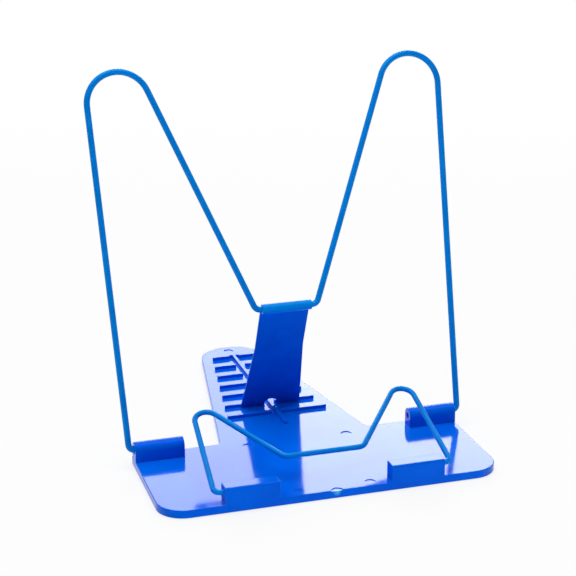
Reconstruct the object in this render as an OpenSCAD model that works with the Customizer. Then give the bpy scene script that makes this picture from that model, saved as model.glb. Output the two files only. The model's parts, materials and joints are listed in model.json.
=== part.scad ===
// Book stand: a moulded base, a bent wire back frame, a rolled sheet prop
// that stands in the base's grooves, and a bent wire page holder.
// Millimetres. X is across the stand, Y runs to the back, Z is up.
// The origin is on the underside, below the middle of the frame's hinge axis.

/* [Base plate] */
// Width across the front edge
base_width = 190; // [180:1:230]
// Width across the rear edge, which is also the span over the hinge barrels
base_rear_width = 188; // [180:1:230]
// From the hinge axis forward to the front edge
front_reach = 70; // [62:1:90]
// From the hinge axis back to the rear edge of the wide part
rear_reach = 7; // [6.5:0.5:12]
// Plate thickness
base_thickness = 4.5; // [3:0.5:8]
// Front corner radius, seen from above
front_corner = 15; // [4:1:25]
// Rear corner radius, seen from above
rear_corner = 2; // [1:0.5:2.5]

/* [Tongue] */
// Width where the tongue leaves the plate
tongue_root_width = 86.6; // [76:0.2:100]
// Width of the taper carried on to the tip
tongue_tip_width = 33.6; // [32.2:0.2:44]
// From the hinge axis back to the tip
tongue_reach = 154.5; // [146:0.5:175]
// Radius of the rounded tip
tip_radius = 19; // [8:0.5:19]
// Radius of the inner corner between tongue and plate
root_fillet = 3; // [1:0.5:6]

/* [Groove ribs] */
// Number of cross ribs
rib_count = 7; // [3:1:7]
// From one rib to the next
rib_pitch = 15.6; // [12:0.2:16]
// From the hinge axis to the front face of the first rib
first_rib = 39; // [34:0.5:42]
// Rib height above the plate
rib_height = 2.1; // [1:0.1:2.6]
// Rib thickness
rib_thickness = 2.4; // [1.6:0.2:3.2]
// Margin from the first rib's ends to the tongue's edge
rib_margin = 7.4; // [5:0.2:10]
// Margin from the last rib's ends to the tongue's edge
last_rib_margin = 6.6; // [5:0.2:10]
// Width of the guide rib along the middle
guide_width = 2; // [1.2:0.2:3]
// Gap between the guide rib and the ends of the cross ribs
guide_gap = 2; // [1:0.2:3]
// How far the guide rib starts behind the hinge axis
guide_start = 22; // [12:0.5:28]
// Length of the slope at the guide rib's front end
guide_slope = 0.6; // [0.3:0.1:2]
// The rib that the prop leans on, counted from the front
groove_number = 2; // [1:1:2]

/* [Hinge barrels] */
// Height of the frame's hinge axis above the underside
hinge_height = 10.6; // [9:0.2:14]
// Barrel diameter
barrel_diameter = 8.7; // [7.5:0.1:10]
// Barrel length
barrel_length = 27.8; // [20:0.2:34]

/* [Page holder blocks] */
// From the middle plane to the inner end of a block
block_inner = 31.1; // [26:0.1:34]
// Block length
block_length = 29.9; // [24:0.1:36]
// Block depth, front to back
block_depth = 9; // [8:0.5:12]
// Height of the blocks' tops above the underside
block_top = 13.9; // [13:0.1:17]
// Height of the page holder's hinge axis above the underside
holder_axis_height = 10.2; // [9.6:0.1:10.8]
// Radius on the long edges of a block's top
block_edge = 1.2; // [0.4:0.2:2]

/* [Back frame wire] */
// Wire diameter, with its coat
frame_wire = 3.5; // [3:0.1:4]
// From the hinge axis up to the middle of the wire at a loop's top
frame_rise = 206.4; // [180:1:240]
// Radius of the top loops, to the middle of the wire
loop_radius = 17.6; // [12:0.2:24]
// From the middle plane to a loop's centre
loop_offset = 84.4; // [72:0.2:92]
// Gap between a leg and the end of its barrel
leg_gap = 0.85; // [0.6:0.05:2]
// Radius of the bend into a barrel, to the middle of the wire
leg_bend = 3.2; // [2.8:0.1:4]
// From the hinge axis up to the cross wire that carries the prop
cross_rise = 69.3; // [64:0.1:74]
// Half the span between the corners of the cross wire
cross_half = 17.9; // [17.6:0.1:20]
// Radius of those two corners, to the middle of the wire
cross_bend = 4; // [3:0.2:4.4]
// Length of wire held in a barrel
frame_pin = 23.5; // [14:0.5:26]

/* [Prop plate] */
// Sheet thickness
sheet = 1; // [0.8:0.1:1.4]
// From the cross wire down to the foot
prop_length = 79; // [76:0.2:84]
// Width at the top, which is also the length of the rolled knuckle
prop_width = 28.8; // [22:0.2:29]
// Width at the foot
foot_width = 36; // [30:0.2:40]
// From the cross wire down to where the flare starts
flare_start = 32; // [20:1:50]
// Width of the arched notch in the foot
arch_width = 7.6; // [6:0.2:9.4]
// Height of the arched notch in the foot
arch_height = 4.8; // [4:0.2:8]
// Depth of the relief cuts below the knuckle
relief_depth = 1.9; // [0.6:0.1:3]
// Height of the relief cuts below the knuckle
relief_height = 1.3; // [0.6:0.1:2]
// Slit between the rolled edge and the plate
roll_slit = 0.6; // [0.3:0.1:0.8]

/* [Page holder wire] */
// Wire diameter, with its coat
holder_wire = 3; // [2.6:0.1:3.4]
// Lean from upright, towards the back frame
holder_lean = 68; // [40:1:80]
// From the hinge axis to the middle of the wire at a loop's top
holder_rise = 59.3; // [50:0.5:62]
// Radius of the loops, to the middle of the wire
holder_loop = 6.9; // [5:0.1:8]
// From the middle plane to a loop's centre
holder_loop_offset = 56.4; // [50:0.2:57]
// Gap between a leg and the end of its block
holder_leg_gap = 3.5; // [2.6:0.1:4.5]
// Radius of the bend into a block, to the middle of the wire
holder_bend = 3.2; // [2.6:0.1:4]
// From the hinge axis to the cross wire
holder_cross_rise = 19.2; // [14:0.2:26]
// Half the span between the corners of the cross wire
holder_cross_half = 22.3; // [16:0.1:28]
// Radius of those two corners, to the middle of the wire
holder_cross_bend = 5; // [3:0.2:7]
// Length of wire held in a block
holder_pin = 20; // [12:0.5:22]

/* [Fits and mould marks] */
// Radial clearance of a wire that turns in a bore or knuckle
running_clearance = 0.08; // [0.02:0.01:0.1]
// Gap left round the prop's foot where it stands in its groove
foot_clearance = 0.35; // [0.3:0.05:0.6]
// Free length of bore beyond the end of a held wire
bore_spare = 1.5; // [0.5:0.5:2]
// Chamfer at the mouth of a barrel's bore
mouth_chamfer = 0.9; // [0.6:0.1:1.4]
// Diameter of the ejector marks
ejector_diameter = 6; // [4:0.5:8]
// From the middle plane to the two ejector marks near the front edge
front_mark_offset = 20.2; // [14:0.2:22]
// From the front edge back to those two marks
front_mark_inset = 5; // [4.5:0.5:12]
// From the middle plane to the two ejector marks in line with the hinge axis
rear_mark_offset = 29; // [24:0.5:40]
// From the tongue's tip to the ejector mark near it
tip_mark_inset = 7.5; // [5:0.5:12]
// Depth of the ejector marks and of the gate recess
mark_depth = 0.4; // [0.2:0.1:0.8]
// Radius of the half round gate recess in the front edge
gate_radius = 3.4; // [2:0.2:5]

/* [Hidden] */
$fn = 72;
overlap = 1;
corner_lap = 0.01;
bend_lap = 0.3;
bend_draw = 0.08;
base_colour = [0.02, 0.25, 0.78];
wire_colour = [0.03, 0.38, 0.80];
prop_colour = [0.02, 0.18, 0.66];

// Places on the base
plate_front = -front_reach;
barrel_outer = base_rear_width / 2;
barrel_inner = barrel_outer - barrel_length;
barrel_bore = frame_wire + 2 * running_clearance;
block_outer = block_inner + block_length;
holder_axis = plate_front + block_depth / 2;
holder_bore = holder_wire + 2 * running_clearance;
tongue_slope = (tongue_root_width - tongue_tip_width) / 2 / (tongue_reach - rear_reach);

// The prop's foot ends in a half round edge; its centre is set by the groove
foot_radius = sheet / 2;
foot_y = rib_face(groove_number) - foot_clearance - foot_radius;
foot_z = base_thickness + foot_clearance + foot_radius;

// The rolled knuckle turns on the cross wire and the plate leaves it behind
knuckle_bore = frame_wire / 2 + running_clearance;
knuckle_outer = knuckle_bore + sheet;
plate_offset = knuckle_bore + sheet / 2;

// Hinge axis, cross wire and foot make a triangle, which gives the frame's tilt
foot_drop = [foot_y, foot_z - hinge_height];
prop_reach = norm([prop_length, plate_offset]);
hinge_angle = acos((cross_rise ^ 2 + norm(foot_drop) ^ 2 - prop_reach ^ 2)
    / (2 * cross_rise * norm(foot_drop)));
frame_tilt = 90 - hinge_angle - atan2(foot_drop[1], foot_drop[0]);
cross_y = cross_rise * sin(frame_tilt);
cross_z = hinge_height + cross_rise * cos(frame_tilt);
prop_swing = atan2(foot_y - cross_y, cross_z - foot_z) - atan2(plate_offset, prop_length);

// Wire corners, each in the plane of its own wire
leg_x = barrel_outer + leg_gap + frame_wire / 2;
frame_loop = loop_corner([leg_x, 0], [cross_half, cross_rise],
    [loop_offset, frame_rise - loop_radius], loop_radius);
holder_leg_x = block_outer + holder_leg_gap + holder_wire / 2;
holder_corner = loop_corner([holder_leg_x, 0], [holder_cross_half, holder_cross_rise],
    [holder_loop_offset, holder_rise - holder_loop], holder_loop);

// Front face of a rib, half the width of the tongue at some place, and how far a rib reaches there
function rib_face(n) = first_rib + (n - 1) * rib_pitch;
function tongue_half(y) = tongue_root_width / 2 - (y - rear_reach) * tongue_slope;
function rib_end(y) = tongue_half(y) - rib_margin
    + (rib_margin - last_rib_margin) * (y - first_rib) / (rib_face(rib_count) - first_rib);

// Plane geometry of corners and tangents
function unit(v) = v / norm(v);
function left_of(v) = [-v[1], v[0]];
function heading(v) = atan2(v[1], v[0]);
function toward(a) = [cos(a), sin(a)];
function meet(p, u, q, w) = p + u * (cross(q - p, w) / cross(u, w));
function turn(p, i) = atan2(cross(p[i] - p[i - 1], p[i + 1] - p[i]),
    (p[i] - p[i - 1]) * (p[i + 1] - p[i]));
function setback(p, r, i) =
    i == 0 || i == len(p) - 1 ? 0 : r[i] * tan(abs(turn(p, i)) / 2);

// Where the leg and the slanted run would meet if the loop were a sharp corner
function loop_corner(leg, mid, centre, r) =
    meet(leg, toward(heading(centre - leg) - asin(r / norm(centre - leg))),
        mid, toward(heading(centre - mid) + asin(r / norm(centre - mid))));

// A flat outline with a true arc at each corner; corners run anticlockwise
module rounded_outline(corners, radii) {
    n = len(corners);
    ring = concat([corners[n - 1]], corners, [corners[0]]);
    bends = concat([0], radii, [0]);
    cuts = [for (i = [1 : n]) for (side = [-1, 1])
        ring[i] + side * setback(ring, bends, i) * unit(side < 0 ? ring[i] - ring[i - 1]
            : ring[i + 1] - ring[i])];
    difference() {
        union() {
            polygon(cuts);
            corner_discs(ring, bends, 1);
        }
        corner_discs(ring, bends, -1);
    }
}

// The discs that round the outer corners (side 1) or cut the inner ones (side -1). Each is
// a hair larger than its radius, so that it crosses the straight edges and doesn't just touch.
module corner_discs(ring, bends, side) {
    for (i = [1 : len(ring) - 2])
        if (bends[i] > 0 && sign(turn(ring, i)) == side) {
            along = unit(ring[i] - ring[i - 1]);
            translate(ring[i] - setback(ring, bends, i) * along + side * bends[i] * left_of(along))
                circle(r = bends[i] + corner_lap);
        }
}

// Bent wire in the XY plane: straight runs joined by round bends. A run goes on into
// the bends at its ends by a short lap, and a bend is a hair thinner than its runs.
module bent_wire(p, r, d) {
    for (i = [0 : len(p) - 2]) {
        run = p[i + 1] - p[i];
        from = i == 0 ? 0 : setback(p, r, i) - bend_lap;
        to = norm(run) - (i == len(p) - 2 ? 0 : setback(p, r, i + 1) - bend_lap);
        translate(p[i] + unit(run) * from)
            rotate([0, 90, heading(run)])
                cylinder(d = d, h = to - from);
    }
    for (i = [1 : len(p) - 2]) {
        along = unit(p[i] - p[i - 1]);
        side = sign(turn(p, i));
        centre = p[i] - along * setback(p, r, i) + side * r[i] * left_of(along);
        start = heading(-side * left_of(along)) + min(0, turn(p, i));
        translate(centre)
            rotate([0, 0, start])
                rotate_extrude(angle = abs(turn(p, i)))
                    translate([r[i], 0])
                        circle(d = d - bend_draw);
    }
}

// A wire frame that is the same on both sides of the middle plane
module looped_wire(pin_end, leg, corner, cross_corner, leg_r, loop_r, cross_r, d) {
    right = [cross_corner, corner, [leg, 0], [pin_end, 0]];
    left = [for (i = [3 : -1 : 0]) [-right[i][0], right[i][1]]];
    bent_wire(concat(left, right), [0, leg_r, loop_r, cross_r, cross_r, loop_r, leg_r, 0], d);
}

// A shape drawn in YZ, drawn out along X
module across(from, to) {
    translate([from, 0, 0])
        rotate([90, 0, 90])
            linear_extrude(height = to - from)
                children();
}

// Plan of the plate and its tongue
module base_plan() {
    right = [[base_width / 2, plate_front], [base_rear_width / 2, rear_reach],
        [tongue_root_width / 2, rear_reach], [tongue_tip_width / 2, tongue_reach]];
    left = [for (i = [3 : -1 : 0]) [-right[i][0], right[i][1]]];
    radii = [front_corner, rear_corner, root_fillet, tip_radius];
    rounded_outline(concat(right, left), concat(radii, [for (i = [3 : -1 : 0]) radii[i]]));
}

// One half of a cross rib
module rib_half(n) {
    front = rib_face(n);
    back = front + rib_thickness;
    inner = guide_width / 2 + guide_gap;
    translate([0, 0, base_thickness - overlap])
        linear_extrude(height = rib_height + overlap)
            polygon([[inner, front], [rib_end(front), front], [rib_end(back), back], [inner, back]]);
}

// Guide rib with a steep front end, tied to the last cross rib
module guide_rib() {
    last = rib_face(rib_count) + rib_thickness;
    top = base_thickness + rib_height;
    low = base_thickness - overlap;
    tie = guide_width / 2 + guide_gap + overlap;
    across(-guide_width / 2, guide_width / 2)
        polygon([[guide_start - guide_slope * overlap / rib_height, low],
            [guide_start + guide_slope, top], [last, top], [last, low]]);
    translate([-tie, last - rib_thickness / 2, low])
        cube([2 * tie, rib_thickness / 2, rib_height + overlap]);
}

// Hinge barrel: round top, straight sides down into the plate
module barrel() {
    across(barrel_inner, barrel_outer)
        union() {
            translate([0, hinge_height])
                circle(d = barrel_diameter);
            translate([-barrel_diameter / 2, base_thickness - overlap])
                square([barrel_diameter, hinge_height - base_thickness + overlap]);
        }
}

// Through bore of a barrel, chamfered where the wire bends in
module barrel_hole() {
    translate([barrel_inner - overlap, 0, hinge_height])
        rotate([0, 90, 0])
            cylinder(d = barrel_bore, h = barrel_length + 2 * overlap);
    translate([barrel_outer - mouth_chamfer, 0, hinge_height])
        rotate([0, 90, 0])
            cylinder(d1 = barrel_bore, d2 = barrel_bore + 4 * mouth_chamfer, h = 2 * mouth_chamfer);
}

// Block for the page holder, flush with the front edge
module block() {
    back = plate_front + block_depth;
    low = base_thickness - overlap;
    across(block_inner, block_outer)
        rounded_outline([[plate_front, low], [back, low], [back, block_top], [plate_front, block_top]],
            [0, 0, block_edge, block_edge]);
}

// Blind bore of a block, from its outer end
module block_hole() {
    depth = holder_pin + bore_spare;
    translate([block_outer - depth, holder_axis, holder_axis_height])
        rotate([0, 90, 0])
            cylinder(d = holder_bore, h = depth + overlap);
}

// Shallow round mark left by an ejector pin
module ejector_mark(x, y) {
    translate([x, y, base_thickness - mark_depth])
        cylinder(d = ejector_diameter, h = mark_depth + overlap);
}

module base() {
    color(base_colour)
        difference() {
            union() {
                linear_extrude(height = base_thickness)
                    base_plan();
                for (side = [0, 1])
                    mirror([side, 0, 0]) {
                        barrel();
                        block();
                        for (n = [1 : rib_count])
                            rib_half(n);
                    }
                guide_rib();
            }
            for (side = [0, 1])
                mirror([side, 0, 0]) {
                    barrel_hole();
                    block_hole();
                    ejector_mark(front_mark_offset, plate_front + front_mark_inset);
                    ejector_mark(rear_mark_offset, 0);
                }
            ejector_mark(0, tongue_reach - tip_mark_inset);
            translate([0, plate_front, base_thickness - mark_depth])
                cylinder(r = gate_radius, h = mark_depth + overlap);
        }
}

module back_frame() {
    color(wire_colour)
        translate([0, 0, hinge_height])
            rotate([90 - frame_tilt, 0, 0])
                looped_wire(barrel_outer - frame_pin, leg_x, frame_loop, [cross_half, cross_rise],
                    leg_bend, loop_radius, cross_bend, frame_wire);
}

// Section of the prop: a roll round the wire, a slit, and the plate with a round foot
module prop_section() {
    difference() {
        union() {
            circle(r = knuckle_outer);
            translate([knuckle_bore, -prop_length])
                square([sheet, prop_length]);
            translate([plate_offset, -prop_length])
                circle(r = foot_radius);
        }
        circle(r = knuckle_bore);
        translate([knuckle_bore - roll_slit, -knuckle_outer - overlap])
            square([roll_slit, knuckle_outer]);
    }
}

// Outline of the prop, flat: straight top, flared foot, relief cuts and arched notch
module prop_outline() {
    top = knuckle_outer + overlap;
    foot = -prop_length - foot_radius;
    bottom = foot - overlap;
    flare = (foot_width - prop_width) / 2 / (prop_length + foot_radius - flare_start);
    half = foot_width / 2 + flare * overlap;
    difference() {
        polygon([[-prop_width / 2, top], [-prop_width / 2, -flare_start], [-half, bottom],
            [half, bottom], [prop_width / 2, -flare_start], [prop_width / 2, top]]);
        for (side = [-1, 1])
            translate([side * prop_width / 2, -knuckle_outer - relief_height / 2])
                square([2 * relief_depth, relief_height], center = true);
        translate([0, foot + arch_height - arch_width / 2])
            circle(d = arch_width);
        translate([-arch_width / 2, bottom - overlap])
            square([arch_width, arch_height - arch_width / 2 + 2 * overlap]);
    }
}

module prop_plate() {
    color(prop_colour)
        translate([0, cross_y, cross_z])
            rotate([prop_swing, 0, 0])
                intersection() {
                    across(-foot_width, foot_width)
                        prop_section();
                    rotate([90, 0, 0])
                        linear_extrude(height = 4 * knuckle_outer, center = true)
                            prop_outline();
                }
}

module page_holder() {
    color(wire_colour)
        translate([0, holder_axis, holder_axis_height])
            rotate([90 - holder_lean, 0, 0])
                looped_wire(block_outer - holder_pin, holder_leg_x, holder_corner,
                    [holder_cross_half, holder_cross_rise],
                    holder_bend, holder_loop, holder_cross_bend, holder_wire);
}

base();
back_frame();
prop_plate();
page_holder();
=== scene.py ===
"""Looks of the book stand: rounded mouldings, swept wires, procedural finishes, studio and camera.

Lengths are written in millimetres, and MM turns them into the frame's metres. Colours are linear.
The points of a flat outline or path are complex numbers.
"""

import cmath
import json
import math
from typing import NamedTuple

import bmesh
import bpy
from mathutils import Matrix, Vector

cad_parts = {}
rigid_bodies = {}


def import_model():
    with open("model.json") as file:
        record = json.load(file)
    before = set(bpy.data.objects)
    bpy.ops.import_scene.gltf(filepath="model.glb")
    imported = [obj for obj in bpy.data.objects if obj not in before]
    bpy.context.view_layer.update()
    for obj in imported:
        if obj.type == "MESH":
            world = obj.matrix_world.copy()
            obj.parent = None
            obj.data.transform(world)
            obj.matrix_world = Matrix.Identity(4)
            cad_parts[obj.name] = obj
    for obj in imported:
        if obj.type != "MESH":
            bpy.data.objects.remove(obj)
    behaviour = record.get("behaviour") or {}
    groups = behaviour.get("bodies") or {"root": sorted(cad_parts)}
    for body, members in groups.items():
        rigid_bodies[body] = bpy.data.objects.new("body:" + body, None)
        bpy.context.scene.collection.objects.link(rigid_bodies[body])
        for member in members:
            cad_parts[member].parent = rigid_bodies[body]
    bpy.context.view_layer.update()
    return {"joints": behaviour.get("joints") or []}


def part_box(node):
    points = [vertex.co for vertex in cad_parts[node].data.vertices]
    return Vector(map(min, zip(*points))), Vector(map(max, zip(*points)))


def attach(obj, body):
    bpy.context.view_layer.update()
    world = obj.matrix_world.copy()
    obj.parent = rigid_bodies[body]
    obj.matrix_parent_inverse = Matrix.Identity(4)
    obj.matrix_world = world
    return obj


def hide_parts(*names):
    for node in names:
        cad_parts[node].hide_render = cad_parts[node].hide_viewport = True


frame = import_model()

MM = 0.001

# Camera, fitted to the straight edges in the photograph; angles in degrees
CAMERA_AZIMUTH = -17.17
CAMERA_ELEVATION = 18.72
CAMERA_ROLL = -0.18
CAMERA_DISTANCE = 952.8
CAMERA_TARGET = (-5.3, 0.0, 95.1)
CAMERA_LENS = 109.0
SENSOR_WIDTH = 36.0

# Base: plan of the plate and tongue
BASE_WIDTH = 190.0
BASE_REAR_WIDTH = 188.0
FRONT = -70.0
REAR = 7.0
PLATE_TOP = 4.5
FRONT_CORNER = 15.0
REAR_CORNER = 2.0
TONGUE_ROOT_WIDTH = 86.6
TONGUE_TIP_WIDTH = 33.6
TONGUE_REACH = 154.5
TIP_RADIUS = 19.0
ROOT_FILLET = 3.0

# Base: cross ribs and guide rib on the tongue
RIB_COUNT = 7
RIB_PITCH = 15.6
FIRST_RIB = 39.0
RIB_TOP = 6.6
RIB_THICKNESS = 2.4
RIB_MARGIN = 7.4
LAST_RIB_MARGIN = 6.6
RIB_SPAN = (RIB_COUNT - 1) * RIB_PITCH
GUIDE_HALF = 1.0
GUIDE_GAP = 2.0
GUIDE_START = 22.0
GUIDE_END = FIRST_RIB + RIB_SPAN + RIB_THICKNESS
GUIDE_SLOPE = 0.6

# Base: hinge barrels, page holder blocks and their bores
BARREL_INNER = 66.2
BARREL_OUTER = 94.0
BARREL_RADIUS = 4.35
BARREL_FLAT = 0.05
BARREL_BORE = 1.83
MOUTH_CHAMFER = 0.9
BLOCK_INNER = 31.1
BLOCK_OUTER = 61.0
BLOCK_BACK = -61.0
BLOCK_TOP = 13.9
BLOCK_EDGE = 1.2
BLOCK_BORE = 1.58
BLOCK_BORE_END = 39.5

# Base: marks that the mould left; the gate nub's steps are its radius and how far it stands out
EJECTOR_RADIUS = 3.0
EJECTOR_PAIRS = ((20.2, -65.0), (29.0, 0.0))
TIP_EJECTOR = (0.0, 147.0)
MARK_DEPTH = 0.4
GATE_RADIUS = 3.4
GATE_NUB = (0.0, FRONT, 3.0)
GATE_NUB_STEPS = ((1.0, 0.3), (1.3, 0.2), (1.45, 0.0), (1.45, -1.0))

# Prop: a sheet blank with a flared foot, rolled round the cross wire at its top
SHEET = 1.0
PROP_LENGTH = 79.0
PROP_WIDTH = 28.8
FOOT_WIDTH = 36.0
FLARE_START = 32.0
FLARE_RADIUS = 20.0
FOOT_CORNER = 0.8
ARCH_WIDTH = 7.6
ARCH_HEIGHT = 4.8
RELIEF_DEPTH = 1.9
RELIEF_HEIGHT = 1.3
BLANK_CORNER = 0.35
KNUCKLE_BORE = 1.83
ROLL_RADIUS = KNUCKLE_BORE + SHEET / 2
ROLL_SLIT = 0.6
ROLL_LENGTH = ROLL_RADIUS * (2 * math.pi - math.acos((KNUCKLE_BORE - ROLL_SLIT) / ROLL_RADIUS))
ROLL_STEPS = 28

# Rounded edges, and how far joined solids reach into each other
RIM_ROUND = 0.5
EDGE_ROUND = 0.4
RIB_ROUND = 0.25
SHEET_ROUND = 0.25
WIRE_END_ROUND = 0.4
BURIED_ROUND = 0.5
SINK = 1.5

# Fineness of the meshes
ROUND_STEPS = 4
RING_SIDES = 32
CIRCLE = [cmath.rect(1, 2 * math.pi * k / RING_SIDES) for k in range(RING_SIDES)]
CHORD_ERROR = 0.01
SMOOTH_ANGLE = math.radians(35)


class WireShape(NamedTuple):
    """A wire frame that is the same on both sides of the middle plane, drawn in its own plane."""

    diameter: float
    pin_end: float
    leg: float
    leg_bend: float
    loop_radius: float
    loop_offset: float
    cross_rise: float
    cross_half: float
    cross_bend: float


BACK_FRAME = WireShape(
    diameter=3.5,
    pin_end=70.5,
    leg=96.6,
    leg_bend=3.2,
    loop_radius=17.6,
    loop_offset=84.4,
    cross_rise=69.3,
    cross_half=17.9,
    cross_bend=4.0,
)
PAGE_HOLDER = WireShape(
    diameter=3.0,
    pin_end=41.0,
    leg=66.0,
    leg_bend=3.2,
    loop_radius=6.9,
    loop_offset=56.4,
    cross_rise=19.2,
    cross_half=22.3,
    cross_bend=5.0,
)

# Finishes of every piece: noise, gloss and worn edges, which on the plastic are partly a painted edge
# highlight; repeats are per metre
NOISE_SPAN = (0.3, 0.7)
COARSE_DETAIL = 1.0
PLAIN_DETAIL = 2.0
FINE_DETAIL = 3.0
FINEST_DETAIL = 4.0
GLOSS_IOR = 1.5
EDGE_MASK_WIDTH = 0.5
EDGE_MASK_SAMPLES = 6
EDGE_TURN_COSINES = (0.8, 0.99)
EDGE_PATCH_REPEATS = 150.0
EDGE_PATCH_SPAN = (0.25, 1.0)

# Finish of the plastic; the scratches' turn is in radians
PLASTIC_DARK = (0.0, 0.115, 0.77)
PLASTIC_LIGHT = (0.0, 0.16, 0.9)
# The worn colour lightens the plastic's edges: they are partly worn and partly a painted highlight, where
# the rounded edges catch the light.
PLASTIC_WORN_AND_HIGHLIGHT = (0.06, 0.34, 0.95)
PLASTIC_GLOSS_TINT = (0.0, 0.0, 1.0)
FLOW_REPEATS = 25.0
PLASTIC_ROUGHNESS = (0.07, 0.12)
PLASTIC_CLOUD_REPEATS = 120.0
WORN_ROUGHNESS = 0.1
SCRATCH_ROUGHNESS = 0.12
SCRATCH_TURN = 0.6
SCRATCH_REPEATS = (12.0, 900.0, 12.0)
SCRATCH_SPAN = (0.7, 0.76)
WAVE_REPEATS = 60.0
WAVE_STRENGTH = 1.0
WAVE_HEIGHT = 0.02
GRAIN_REPEATS = 2500.0
GRAIN_STRENGTH = 0.3
GRAIN_HEIGHT = 0.01
GATE_PALE = (0.06, 0.46, 0.9)
GATE_PALE_RISE = 0.7
GATE_PALE_REACH = (0.8, 2.6)

# Finish of the coated steel
COAT_WORN = (0.005, 0.26, 0.8)
COAT_GLOSS_TINT = (0.0, 0.5, 1.0)
COAT_CLOUD_REPEATS = 90.0
COAT_ROUGH_REPEATS = 300.0
PEEL_REPEATS = 900.0
PEEL_STRENGTH = 0.25
PEEL_HEIGHT = 0.03
# A painted highlight: the prop's roll faces up into the light, so it is drawn paler than the flat sheet.
ROLL_PAINTED_HIGHLIGHT = (0.0, 0.26, 0.85)
ROLL_HIGHLIGHT_REACH = (2.7, 3.4)


class Coat(NamedTuple):
    """A coat's two colours, between which it is clouded, and its span of roughness."""

    dark: tuple
    light: tuple
    roughness: tuple


WIRE_COAT = Coat(dark=(0.0, 0.205, 0.71), light=(0.002, 0.24, 0.81), roughness=(0.16, 0.24))
SHEET_COAT = Coat(dark=(0.0, 0.125, 0.7), light=(0.0, 0.145, 0.77), roughness=(0.3, 0.42))

# Studio: the room's light, and the floor
WHITE = (1.0, 1.0, 1.0)
ROOM_FRONT = (0.02, 0.02, 0.02)
ROOM_MIDDLE = (0.12, 0.12, 0.12)
ROOM_BACK = (0.8, 0.8, 0.8)
FLOOR_DARK = (0.86, 0.86, 0.86)
FLOOR_LIGHT = (0.9, 0.9, 0.9)
FLOOR_REPEATS = 3.0
FLOOR_HALF = 6000.0
FLOOR_HEIGHT = -0.2
FLOOR_WHITE = 0.78
FLOOR_FADE = (250.0, 900.0)


class Softbox(NamedTuple):
    """A soft rectangular light of a given brightness."""

    name: str
    place: tuple
    aim: tuple
    width: float
    height: float
    radiance: float


# Two panels stand edge to edge behind the object, where its glossy top mirrors them
SOFTBOXES = (
    Softbox(
        name="right_panel",
        place=(710.0, 1400.0, 670.0),
        aim=(710.0, 0.0, 670.0),
        width=600.0,
        height=440.0,
        radiance=6.3,
    ),
    Softbox(
        name="left_panel",
        place=(160.0, 1400.0, 670.0),
        aim=(160.0, 0.0, 670.0),
        width=500.0,
        height=440.0,
        radiance=4.1,
    ),
    Softbox(
        name="top_box",
        place=(-100.0, -150.0, 1300.0),
        aim=(0.0, 0.0, 0.0),
        width=1200.0,
        height=1200.0,
        radiance=3.5,
    ),
    Softbox(
        name="front_card",
        place=(0.0, -570.0, -0.1),
        aim=(0.0, -570.0, 1000.0),
        width=1600.0,
        height=1000.0,
        radiance=0.4,
    ),
)


# Node helpers
def feed(tree, socket, value):
    """Links a value that is itself a socket, and sets any other."""
    if isinstance(value, bpy.types.NodeSocket):
        tree.links.new(value, socket)
    else:
        socket.default_value = value


def add_node(tree, kind, **values):
    """Adds a node. Each keyword names an input, with an underscore for a space."""
    node = tree.nodes.new(kind)
    for name, value in values.items():
        feed(tree, node.inputs[name.replace("_", " ")], value)
    return node


def calculate(tree, kind, operation, *values):
    """The outputs of a new node of number or vector arithmetic, whose inputs are given in turn."""
    node = tree.nodes.new(kind)
    node.operation = operation
    for socket, value in zip(node.inputs, values):
        feed(tree, socket, value)
    return node.outputs


def add(tree, first, second):
    return calculate(tree, "ShaderNodeMath", "ADD", first, second)["Value"]


def multiply(tree, first, second):
    return calculate(tree, "ShaderNodeMath", "MULTIPLY", first, second)["Value"]


def noise(tree, where, repeats, detail=PLAIN_DETAIL):
    """Cloudy noise, most of it within NOISE_SPAN."""
    return add_node(tree, "ShaderNodeTexNoise", Vector=where, Scale=repeats, Detail=detail).outputs["Fac"]


def remap(tree, value, onto, span=NOISE_SPAN):
    """Maps a span of values on to another one."""
    return add_node(
        tree,
        "ShaderNodeMapRange",
        Value=value,
        From_Min=span[0],
        From_Max=span[1],
        To_Min=onto[0],
        To_Max=onto[1],
    ).outputs["Result"]


def opaque(colour):
    return (*colour, 1.0)


def ramp(tree, value, places, colours):
    """A colour ramp that has each colour at its place."""
    node = add_node(tree, "ShaderNodeValToRGB", Fac=value)
    elements = node.color_ramp.elements
    while len(elements) < len(places):
        elements.new(1.0)
    for element, place, colour in zip(elements, places, colours):
        element.position = place
        element.color = opaque(colour)
    return node.outputs["Color"]


def painted(tree, under, share, over):
    """A colour with another one laid over a share of it."""
    mixed = add_node(tree, "ShaderNodeMixRGB", Fac=share, Color1=under, Color2=opaque(over))
    return mixed.outputs["Color"]


def bump(tree, height, strength, distance):
    """Adds a bump node for a height of which 1 stands for a distance."""
    return add_node(tree, "ShaderNodeBump", Height=height, Strength=strength, Distance=distance * MM)


def mix_shaders(tree, share, first, second):
    """One shader with a share of another one."""
    node = tree.nodes.new("ShaderNodeMixShader")
    for socket, value in zip(node.inputs, (share, first.outputs[0], second.outputs[0])):
        feed(tree, socket, value)
    return node.outputs["Shader"]


def new_material(name):
    material = bpy.data.materials.new(name)
    material.use_nodes = True
    material.node_tree.nodes.clear()
    return material, material.node_tree


def finish_surface(tree, shader):
    add_node(tree, "ShaderNodeOutputMaterial", Surface=shader)


def finish_glossy(tree, colour, roughness, normal, tint):
    """Ends a material in a glossy surface, whose gloss is tinted where it is met straight on."""
    shader = add_node(
        tree,
        "ShaderNodeBsdfPrincipled",
        Base_Color=colour,
        Roughness=roughness,
        Normal=normal,
        IOR=GLOSS_IOR,
        Specular_Tint=opaque(tint),
    )
    finish_surface(tree, shader.outputs["BSDF"])


# Finishes
def object_place(tree):
    return tree.nodes.new("ShaderNodeTexCoord").outputs["Object"]


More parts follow.
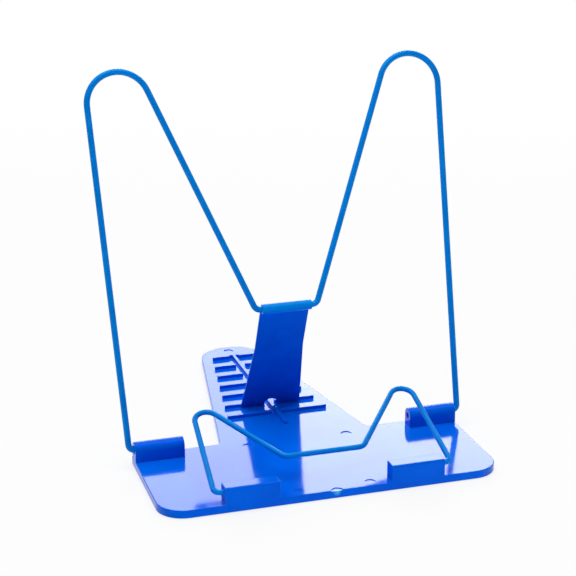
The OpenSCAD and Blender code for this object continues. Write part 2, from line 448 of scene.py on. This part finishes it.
def edge_wear_and_highlight(tree, where):
    """0 on flats, up to 1 along edges, in patches."""
    bevel = add_node(tree, "ShaderNodeBevel", Radius=EDGE_MASK_WIDTH * MM)
    bevel.samples = EDGE_MASK_SAMPLES
    flat = tree.nodes.new("ShaderNodeNewGeometry").outputs["Normal"]
    turn = calculate(tree, "ShaderNodeVectorMath", "DOT_PRODUCT", bevel.outputs["Normal"], flat)["Value"]
    edge = remap(tree, turn, (1.0, 0.0), EDGE_TURN_COSINES)
    patches = remap(tree, noise(tree, where, EDGE_PATCH_REPEATS, FINE_DETAIL), EDGE_PATCH_SPAN)
    return multiply(tree, edge, patches)


def scratches(tree, where):
    """1 on a few long fine lines that run across the plate, else 0."""
    stretched = add_node(
        tree,
        "ShaderNodeMapping",
        Vector=where,
        Rotation=(0.0, 0.0, SCRATCH_TURN),
        Scale=SCRATCH_REPEATS,
    ).outputs["Vector"]
    return remap(tree, noise(tree, stretched, 1.0, COARSE_DETAIL), (0.0, 1.0), SCRATCH_SPAN)


def near_point(tree, where, point, reach, axes=(1, 1, 1)):
    """1 up to the first of two distances from a point, 0 from the second on.

    An axis with 0 isn't counted.
    """
    kept = calculate(tree, "ShaderNodeVectorMath", "MULTIPLY", where, axes)["Vector"]
    gap = calculate(tree, "ShaderNodeVectorMath", "DISTANCE", kept, point)["Value"]
    return remap(tree, gap, (1.0, 0.0), [distance * MM for distance in reach])


def moulded_plastic():
    """Glossy blue moulding: faint flow clouds, a slightly wavy surface and fine handling marks."""
    material, tree = new_material("moulded_plastic")
    where = object_place(tree)
    wear_and_highlight = edge_wear_and_highlight(tree, where)
    pale = Vector(GATE_NUB) + Vector((0, 0, GATE_PALE_RISE))
    gate = near_point(tree, where, pale * MM, GATE_PALE_REACH)
    flow = noise(tree, where, FLOW_REPEATS, FINE_DETAIL)
    colour = ramp(tree, flow, NOISE_SPAN, (PLASTIC_DARK, PLASTIC_LIGHT))
    # Painted highlight: the edges are drawn lighter, partly as worn plastic and partly as the light that
    # rounded edges catch.
    colour = painted(tree, colour, wear_and_highlight, PLASTIC_WORN_AND_HIGHLIGHT)
    colour = painted(tree, colour, gate, GATE_PALE)
    clouds = noise(tree, where, PLASTIC_CLOUD_REPEATS, FINEST_DETAIL)
    roughness = remap(tree, clouds, PLASTIC_ROUGHNESS)
    roughness = add(tree, roughness, multiply(tree, scratches(tree, where), SCRATCH_ROUGHNESS))
    roughness = add(tree, roughness, multiply(tree, wear_and_highlight, WORN_ROUGHNESS))
    wave = bump(tree, noise(tree, where, WAVE_REPEATS), WAVE_STRENGTH, WAVE_HEIGHT)
    grain = bump(tree, noise(tree, where, GRAIN_REPEATS), GRAIN_STRENGTH, GRAIN_HEIGHT)
    feed(tree, grain.inputs["Normal"], wave.outputs["Normal"])
    finish_glossy(tree, colour, roughness, grain.outputs["Normal"], PLASTIC_GLOSS_TINT)
    return material


def coated_metal(name, coat, roll=None):
    """Coat on steel: clouded colour, orange peel, and a painted highlight that makes it paler near a
    roll's axis.
    """
    material, tree = new_material(name)
    where = object_place(tree)
    clouds = noise(tree, where, COAT_CLOUD_REPEATS, FINE_DETAIL)
    colour = ramp(tree, clouds, NOISE_SPAN, (coat.dark, coat.light))
    if roll is not None:
        # Painted highlight on the roll, which is lit from above: paler near the roll's axis.
        bent = near_point(tree, where, roll, ROLL_HIGHLIGHT_REACH, axes=(0, 1, 1))
        colour = painted(tree, colour, bent, ROLL_PAINTED_HIGHLIGHT)
    colour = painted(tree, colour, edge_wear_and_highlight(tree, where), COAT_WORN)
    roughness = remap(tree, noise(tree, where, COAT_ROUGH_REPEATS, FINE_DETAIL), coat.roughness)
    peel = bump(tree, noise(tree, where, PEEL_REPEATS), PEEL_STRENGTH, PEEL_HEIGHT)
    finish_glossy(tree, colour, roughness, peel.outputs["Normal"], COAT_GLOSS_TINT)
    return material


# Outlines
def both_sides(points):
    """A closed outline of the points and their mirror images."""
    return points + [-p.conjugate() for p in reversed(points)]


def rounded_path(corners, radii):
    """The line through the corners with an arc of the given radius at each inner corner."""
    points = [corners[0]]
    for before, corner, after, radius in zip(corners, corners[1:], corners[2:], radii):
        into = (corner - before) / abs(corner - before)
        turn = cmath.phase((after - corner) / into)
        side = math.copysign(1, turn)
        start = corner - into * radius * math.tan(abs(turn) / 2)
        centre = start + side * radius * 1j * into
        steps = math.ceil(abs(turn) / (2 * math.acos(1 - CHORD_ERROR / radius)))
        for k in range(steps + 1):
            points.append(centre + (start - centre) * cmath.rect(1, turn * k / steps))
    return points + [corners[-1]]


def closed_path(corners, radii):
    """The outline through the corners, with an arc of the given radius at each."""
    start = (corners[0] + corners[-1]) / 2
    return rounded_path([start, *corners, start], radii)[:-1]


def inset(outline, distance):
    """The anticlockwise outline moved inwards by a distance."""
    moved = []
    for before, point, after in zip(outline[-1:] + outline[:-1], outline, outline[1:] + outline[:1]):
        left = 1j * (point - before) / abs(point - before)
        right = 1j * (after - point) / abs(after - point)
        moved.append(point + distance * (left + right) / (1 + (left.conjugate() * right).real))
    return moved


def plan(point, height):
    """Puts a plan outline's point, x + y j, at a height."""
    return Vector((point.real, point.imag, height)) * MM


def plan_mirrored(point, height):
    return Vector((-point.real, point.imag, height)) * MM


def section(point, across):
    """Puts a section's point, y + z j, at a place across the stand."""
    return Vector((across, point.real, point.imag)) * MM


# Solids and meshes
def face_outwards(bm):
    if bm.calc_volume(signed=True) < 0:
        bmesh.ops.reverse_faces(bm, faces=bm.faces)


def skin(rings):
    """A closed solid over a stack of rings of points."""
    bm = bmesh.new()
    rows = [[bm.verts.new(point) for point in ring] for ring in rings]
    count = len(rows[0])
    for row, after in zip(rows, rows[1:]):
        for k in range(count):
            n = (k + 1) % count
            bm.faces.new((row[k], row[n], after[n], after[k]))
    bm.faces.new(rows[0][::-1])
    bm.faces.new(rows[-1])
    face_outwards(bm)
    return bm


def rim(end, inner, radius):
    """(inset, height) steps of a rounded rim, from the end face to the wall."""
    side = math.copysign(1, inner - end)
    angles = [math.pi / 2 * k / ROUND_STEPS for k in range(ROUND_STEPS + 1)]
    return [(radius * (1 - math.sin(a)), end + side * radius * (1 - math.cos(a))) for a in angles]


def slab(outline, low, high, place, low_round, high_round):
    """The outline drawn out from low to high, with both rims rounded."""
    levels = rim(low, high, low_round) + rim(high, low, high_round)[::-1]
    return skin([[place(p, height) for p in inset(outline, step)] for step, height in levels])


def lathe(steps, place):
    """A round solid of (radius, height) steps about the height axis."""
    return skin([[place(radius * p, height) for p in CIRCLE] for radius, height in steps])


def sweep(path, radius, place):
    """A round bar along a flat path; place puts an in-plane point and its height off the plane."""
    last = len(path) - 1
    runs = [path[min(i + 1, last)] - path[max(i - 1, 0)] for i in range(len(path))]
    along = [run / abs(run) for run in runs]
    first_wall = path[0] + WIRE_END_ROUND * along[0]
    last_wall = path[-1] - WIRE_END_ROUND * along[-1]
    points = [path[0], first_wall, *path[1:-1], last_wall, path[-1]]
    along = [along[0], *along, along[-1]]
    end_radius = radius - WIRE_END_ROUND
    radii = [end_radius, *[radius] * len(path), end_radius]
    rings = []
    for point, ahead, size in zip(points, along, radii):
        rings.append([place(point + 1j * ahead * size * p.real, size * p.imag) for p in CIRCLE])
    return skin(rings)


def mesh_of(name, bm):
    mesh = bpy.data.meshes.new(name)
    bm.to_mesh(mesh)
    bm.free()
    return mesh


def joined(solids, cuts):
    """One mesh: the solids united, less the cuts."""
    collection = bpy.context.scene.collection
    whole = bpy.data.objects.new("whole", mesh_of("whole", solids[0]))
    collection.objects.link(whole)
    groups = []
    for operation, meshes in (("UNION", solids[1:]), ("DIFFERENCE", cuts)):
        group = bpy.data.collections.new(operation)
        collection.children.link(group)
        groups.append(group)
        for bm in meshes:
            group.objects.link(bpy.data.objects.new(operation, mesh_of(operation, bm)))
        boolean = whole.modifiers.new(operation, "BOOLEAN")
        boolean.operation = operation
        boolean.operand_type = "COLLECTION"
        boolean.collection = group
        boolean.solver = "MANIFOLD"
    evaluated = whole.evaluated_get(bpy.context.evaluated_depsgraph_get())
    bm = bmesh.new()
    bm.from_mesh(evaluated.to_mesh())
    bpy.data.objects.remove(whole)
    for group in groups:
        for helper in list(group.objects):
            bpy.data.objects.remove(helper)
        bpy.data.collections.remove(group)
    return bm


def new_piece(name, bm, body, material):
    """Makes a smooth object of a finished mesh, which rides on a body and takes a slot's finish."""
    mesh = mesh_of(name, bm)
    for polygon in mesh.polygons:
        polygon.use_smooth = True
    mesh.materials.append(material)
    piece = bpy.data.objects.new(name, mesh)
    bpy.context.scene.collection.objects.link(piece)
    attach(piece, body)
    return piece


def smooth_rounds(piece):
    """Shades the rounded edges smooth, and keeps flats flat and inner corners sharp."""
    piece.data.set_sharp_from_angle(angle=SMOOTH_ANGLE)
    normals = piece.modifiers.new("normals", "WEIGHTED_NORMAL")
    normals.keep_sharp = True


# Joints of the frame
def joint_named(name):
    return next(joint for joint in frame["joints"] if joint["name"] == name)


def hinge_axis(name):
    """A point on a joint's axis, in the middle plane."""
    return Vector(joint_named(name)["pos_m"])


def hinge_section(name):
    """A joint's axis in a section across the stand, y + z j."""
    return complex(*hinge_axis(name).yz / MM)


# Base
def tongue_half(y):
    share = (y - REAR) / (TONGUE_REACH - REAR)
    return (TONGUE_ROOT_WIDTH + share * (TONGUE_TIP_WIDTH - TONGUE_ROOT_WIDTH)) / 2


def plate_solid():
    """The plate and the tongue."""
    right = [
        complex(BASE_WIDTH / 2, FRONT),
        complex(BASE_REAR_WIDTH / 2, REAR),
        complex(TONGUE_ROOT_WIDTH / 2, REAR),
        complex(TONGUE_TIP_WIDTH / 2, TONGUE_REACH),
    ]
    radii = [FRONT_CORNER, REAR_CORNER, ROOT_FILLET, TIP_RADIUS]
    outline = closed_path(both_sides(right), radii + radii[::-1])
    return slab(outline, 0, PLATE_TOP, plan, EDGE_ROUND, RIM_ROUND)


def rib_end(y):
    share = (y - FIRST_RIB) / RIB_SPAN
    return tongue_half(y) - RIB_MARGIN + share * (RIB_MARGIN - LAST_RIB_MARGIN)


def rib_solid(n, place):
    """One half of a cross rib."""
    front = FIRST_RIB + n * RIB_PITCH
    back = front + RIB_THICKNESS
    inner = GUIDE_HALF + GUIDE_GAP
    corners = [
        complex(inner, front),
        complex(rib_end(front), front),
        complex(rib_end(back), back),
        complex(inner, back),
    ]
    outline = closed_path(corners, [EDGE_ROUND] * len(corners))
    return slab(outline, PLATE_TOP - SINK, RIB_TOP, place, RIB_ROUND, RIB_ROUND)


def guide_solid():
    """The guide rib, with a steep front end."""
    low = PLATE_TOP - SINK
    corners = [
        complex(GUIDE_START - GUIDE_SLOPE * SINK / (RIB_TOP - PLATE_TOP), low),
        complex(GUIDE_END, low),
        complex(GUIDE_END, RIB_TOP),
        complex(GUIDE_START + GUIDE_SLOPE, RIB_TOP),
    ]
    outline = closed_path(corners, [EDGE_ROUND] * len(corners))
    return slab(outline, -GUIDE_HALF, GUIDE_HALF, section, RIB_ROUND, RIB_ROUND)


def tie_solid():
    """The web that ties the guide rib to the last cross rib."""
    front = GUIDE_END - RIB_THICKNESS / 2
    reach = GUIDE_HALF + GUIDE_GAP + SINK
    corners = both_sides([complex(reach, front), complex(reach, GUIDE_END)])
    outline = closed_path(corners, [EDGE_ROUND] * len(corners))
    return slab(outline, PLATE_TOP - SINK, RIB_TOP, plan, RIB_ROUND, RIB_ROUND)


def barrel_solid(side, axis):
    """A hinge barrel: round top, straight sides down into the plate."""
    low = PLATE_TOP - SINK
    corners = [
        complex(axis.real - BARREL_RADIUS, low),
        complex(axis.real + BARREL_RADIUS, low),
        complex(axis.real + BARREL_RADIUS, axis.imag + BARREL_RADIUS),
        complex(axis.real - BARREL_RADIUS, axis.imag + BARREL_RADIUS),
    ]
    top = BARREL_RADIUS - BARREL_FLAT
    outline = closed_path(corners, [BURIED_ROUND, BURIED_ROUND, top, top])
    ends = sorted((side * BARREL_INNER, side * BARREL_OUTER))
    return slab(outline, *ends, section, EDGE_ROUND, EDGE_ROUND)


def block_solid(side):
    """A page holder block, flush with the plate's front edge."""
    low = PLATE_TOP - SINK
    corners = [
        complex(FRONT, low),
        complex(BLOCK_BACK, low),
        complex(BLOCK_BACK, BLOCK_TOP),
        complex(FRONT, BLOCK_TOP),
    ]
    outline = closed_path(corners, [BURIED_ROUND, BURIED_ROUND, BLOCK_EDGE, BLOCK_EDGE])
    ends = sorted((side * BLOCK_INNER, side * BLOCK_OUTER))
    return slab(outline, *ends, section, EDGE_ROUND, EDGE_ROUND)


def gate_nub():
    """What was left on the front face when the runner was cut off."""
    middle = Vector(GATE_NUB)

    def place(point, out):
        return (middle + Vector((point.real, -out, point.imag))) * MM

    return lathe(GATE_NUB_STEPS, place)


def bore_cut(steps, side, axis):
    """A round cut of (radius, distance from the middle) steps about an axis, y + z j."""
    return lathe(steps, lambda point, across: section(axis + point, side * across))


def barrel_bore(side, axis):
    """A bore through a barrel, with a chamfered mouth at its outer end."""
    steps = [
        (BARREL_BORE, BARREL_INNER - SINK),
        (BARREL_BORE, BARREL_OUTER - MOUTH_CHAMFER),
        (BARREL_BORE + 2 * MOUTH_CHAMFER, BARREL_OUTER + MOUTH_CHAMFER),
    ]
    return bore_cut(steps, side, axis)


def block_bore(side, axis):
    """A blind bore in a block."""
    return bore_cut([(BLOCK_BORE, BLOCK_BORE_END), (BLOCK_BORE, BLOCK_OUTER + SINK)], side, axis)


def mark_cut(x, y, radius):
    """A shallow round mark in the plate's top."""
    steps = [(radius, PLATE_TOP - MARK_DEPTH), (radius, PLATE_TOP), (radius + SINK, PLATE_TOP + SINK)]
    return lathe(steps, lambda point, height: plan(complex(x, y) + point, height))


def mark_cuts():
    """The marks of the ejector pins and of the gate."""
    places = [(side * x, y) for x, y in EJECTOR_PAIRS for side in (1, -1)]
    cuts = [mark_cut(x, y, EJECTOR_RADIUS) for x, y in [*places, TIP_EJECTOR]]
    return cuts + [mark_cut(0, FRONT, GATE_RADIUS)]


def base_piece(material):
    """The moulding: plate, ribs, barrels and blocks in one, with their bores and marks."""
    frame_axis = hinge_section("frame_tilt")
    holder_axis = hinge_section("holder_swing")
    solids = [plate_solid(), guide_solid(), tie_solid(), gate_nub()]
    cuts = mark_cuts()
    for side, place in ((1, plan), (-1, plan_mirrored)):
        solids += [rib_solid(n, place) for n in range(RIB_COUNT)]
        solids += [barrel_solid(side, frame_axis), block_solid(side)]
        cuts += [barrel_bore(side, frame_axis), block_bore(side, holder_axis)]
    piece = new_piece("base_moulding", joined(solids, cuts), "base", material)
    smooth_rounds(piece)
    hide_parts("base")


# Prop
def blank_outline():
    """The prop's flat outline: x across, y up from the roll's start."""
    arch = ARCH_WIDTH / 2
    half = PROP_WIDTH / 2
    foot = -PROP_LENGTH - SHEET / 2
    relief_top = -KNUCKLE_BORE - SHEET
    right = [
        complex(arch, foot + ARCH_HEIGHT),
        complex(arch, foot),
        complex(FOOT_WIDTH / 2, foot),
        complex(half, -FLARE_START),
        complex(half, relief_top - RELIEF_HEIGHT),
        complex(half - RELIEF_DEPTH, relief_top - RELIEF_HEIGHT),
        complex(half - RELIEF_DEPTH, relief_top),
        complex(half, relief_top),
        complex(half, ROLL_LENGTH),
    ]
    radii = [arch - CHORD_ERROR, BLANK_CORNER, FOOT_CORNER, FLARE_RADIUS]
    radii += [BLANK_CORNER] * (len(right) - len(radii))
    return closed_path(both_sides(right), radii + radii[::-1])


def rolled(point):
    """Where a point of the flat blank comes to lie about the cross wire."""
    reach = KNUCKLE_BORE * MM + point.z
    if point.y <= 0:
        return Vector((point.x, reach, point.y))
    turn = point.y / (ROLL_RADIUS * MM)
    return Vector((point.x, reach * math.cos(turn), reach * math.sin(turn)))


def prop_piece(material):
    """The prop: its blank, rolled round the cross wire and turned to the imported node's lean."""
    pivot = hinge_axis("prop_swing")
    drop = (pivot.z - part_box("prop_plate")[0].z) / MM - SHEET / 2
    lean = math.acos(drop / math.hypot(PROP_LENGTH, ROLL_RADIUS)) - math.atan2(ROLL_RADIUS, PROP_LENGTH)
    turn = Matrix.Rotation(lean, 3, "X")
    bm = slab(blank_outline(), 0, SHEET, plan, SHEET_ROUND, SHEET_ROUND)
    for k in range(ROLL_STEPS):
        line = Vector((0, ROLL_LENGTH * k / ROLL_STEPS, 0)) * MM
        whole = bm.verts[:] + bm.edges[:] + bm.faces[:]
        bmesh.ops.bisect_plane(bm, geom=whole, plane_co=line, plane_no=(0, 1, 0))
    for vert in bm.verts:
        vert.co = pivot + turn @ rolled(vert.co)
    face_outwards(bm)
    piece = new_piece("prop_sheet", bm, "prop", material)
    smooth_rounds(piece)
    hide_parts("prop_plate")


# Wires
def tangent(point, centre, radius, side):
    """Direction from a point that touches a circle; side is 1 to pass on its left, -1 on its right."""
    gap = centre - point
    return gap / abs(gap) * cmath.rect(1, side * math.asin(radius / abs(gap)))


def meet(point, along, other, other_along):
    """Where two lines in the plane cross."""
    span = (along.conjugate() * other_along).imag
    return point + along * ((other - point).conjugate() * other_along).imag / span


def wire_path(shape, rise):
    """Centre line of a wire from its left end to its right end, as x + up j."""
    leg = complex(shape.leg, 0)
    cross = complex(shape.cross_half, shape.cross_rise)
    loop = complex(shape.loop_offset, rise - shape.loop_radius)
    corner = meet(
        leg,
        tangent(leg, loop, shape.loop_radius, -1),
        cross,
        tangent(cross, loop, shape.loop_radius, 1),
    )
    right = [cross, corner, leg, complex(shape.pin_end, 0)]
    left = [-p.conjugate() for p in reversed(right)]
    bends = [shape.leg_bend, shape.loop_radius, shape.cross_bend]
    return rounded_path(left + right, bends + bends[::-1])


def wire_piece(name, node, joint, shape, material):
    """A bent wire in its hinge axis's plane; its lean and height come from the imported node."""
    axis = hinge_axis(joint)
    body = joint_named(joint)["child"]
    radius = shape.diameter / 2
    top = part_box(node)[1] - Vector((1, 1, 1)) * radius * MM
    up = Vector((0, top.y - axis.y, top.z - axis.z))
    rise = up.length / MM
    up.normalize()
    off = Vector((1, 0, 0)).cross(up)

    def place(point, height):
        return axis + (Vector((point.real, 0, 0)) + up * point.imag + off * height) * MM

    bm = sweep(wire_path(shape, rise), radius, place)
    piece = new_piece(name, bm, body, material)
    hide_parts(node)


# Studio
def make_light(box):
    """A softbox that the camera itself doesn't see."""
    data = bpy.data.lights.new(box.name, "AREA")
    data.shape = "RECTANGLE"
    data.size = box.width * MM
    data.size_y = box.height * MM
    data.energy = box.radiance * math.pi * data.size * data.size_y
    light = bpy.data.objects.new(box.name, data)
    bpy.context.scene.collection.objects.link(light)
    light.location = Vector(box.place) * MM
    light.rotation_euler = (Vector(box.aim) - Vector(box.place)).to_track_quat("-Z", "Y").to_euler()
    light.visible_camera = False


def make_world():
    """White to the camera; to the object a room that is dim in front and light behind."""
    world = bpy.data.worlds.new("studio")
    bpy.context.scene.world = world
    world.use_nodes = True
    tree = world.node_tree
    tree.nodes.clear()
    where = tree.nodes.new("ShaderNodeTexCoord").outputs["Generated"]
    depth = add_node(tree, "ShaderNodeSeparateXYZ", Vector=where).outputs["Y"]
    depth = remap(tree, depth, (0.0, 1.0), (-1.0, 1.0))
    room = ramp(tree, depth, (0.0, 0.5, 1.0), (ROOM_FRONT, ROOM_MIDDLE, ROOM_BACK))
    lit = add_node(tree, "ShaderNodeBackground", Color=room, Strength=1.0)
    shown = add_node(tree, "ShaderNodeBackground", Color=opaque(WHITE), Strength=1.0)
    path = tree.nodes.new("ShaderNodeLightPath")
    mixed = mix_shaders(tree, path.outputs["Is Camera Ray"], lit, shown)
    add_node(tree, "ShaderNodeOutputWorld", Surface=mixed)


def floor_paper():
    """White paper that shows part of its own shading near the object, so that the shadow stays."""
    material, tree = new_material("floor")
    where = object_place(tree)
    colour = ramp(tree, noise(tree, where, FLOOR_REPEATS), (0.0, 1.0), (FLOOR_DARK, FLOOR_LIGHT))
    paper = add_node(tree, "ShaderNodeBsdfDiffuse", Color=colour)
    white = add_node(tree, "ShaderNodeEmission", Color=opaque(WHITE), Strength=1.0)
    path = tree.nodes.new("ShaderNodeLightPath")
    seen = add(tree, path.outputs["Is Camera Ray"], path.outputs["Is Glossy Ray"])
    away = calculate(tree, "ShaderNodeVectorMath", "LENGTH", where)["Value"]
    share = remap(tree, away, (FLOOR_WHITE, 1.0), [distance * MM for distance in FLOOR_FADE])
    finish_surface(tree, mix_shaders(tree, multiply(tree, seen, share), paper, white))
    return material


def make_floor():
    bm = bmesh.new()
    bmesh.ops.create_grid(bm, x_segments=1, y_segments=1, size=FLOOR_HALF * MM)
    mesh = mesh_of("floor", bm)
    mesh.materials.append(floor_paper())
    floor = bpy.data.objects.new("floor", mesh)
    floor.location.z = FLOOR_HEIGHT * MM
    bpy.context.scene.collection.objects.link(floor)


def make_camera():
    azimuth = math.radians(CAMERA_AZIMUTH)
    elevation = math.radians(CAMERA_ELEVATION)
    back = Vector((
        math.sin(azimuth) * math.cos(elevation),
        -math.cos(azimuth) * math.cos(elevation),
        math.sin(elevation),
    ))
    data = bpy.data.cameras.new("camera")
    data.lens = CAMERA_LENS
    data.sensor_width = SENSOR_WIDTH
    camera = bpy.data.objects.new("camera", data)
    bpy.context.scene.collection.objects.link(camera)
    place = (Vector(CAMERA_TARGET) + back * CAMERA_DISTANCE) * MM
    turn = (-back).to_track_quat("-Z", "Y").to_matrix().to_4x4()
    roll = Matrix.Rotation(math.radians(CAMERA_ROLL), 4, "Z")
    camera.matrix_world = Matrix.Translation(place) @ turn @ roll
    bpy.context.scene.camera = camera


wire_finish = coated_metal("coated_wire", WIRE_COAT)
sheet_finish = coated_metal("coated_sheet", SHEET_COAT, hinge_axis("prop_swing"))
base_piece(moulded_plastic())
prop_piece(sheet_finish)
wire_piece("back_wire", "back_frame", "frame_tilt", BACK_FRAME, wire_finish)
wire_piece("holder_wire", "page_holder", "holder_swing", PAGE_HOLDER, wire_finish)

make_world()
make_floor()
for box in SOFTBOXES:
    make_light(box)
make_camera()
bpy.context.scene.view_settings.view_transform = "Standard"
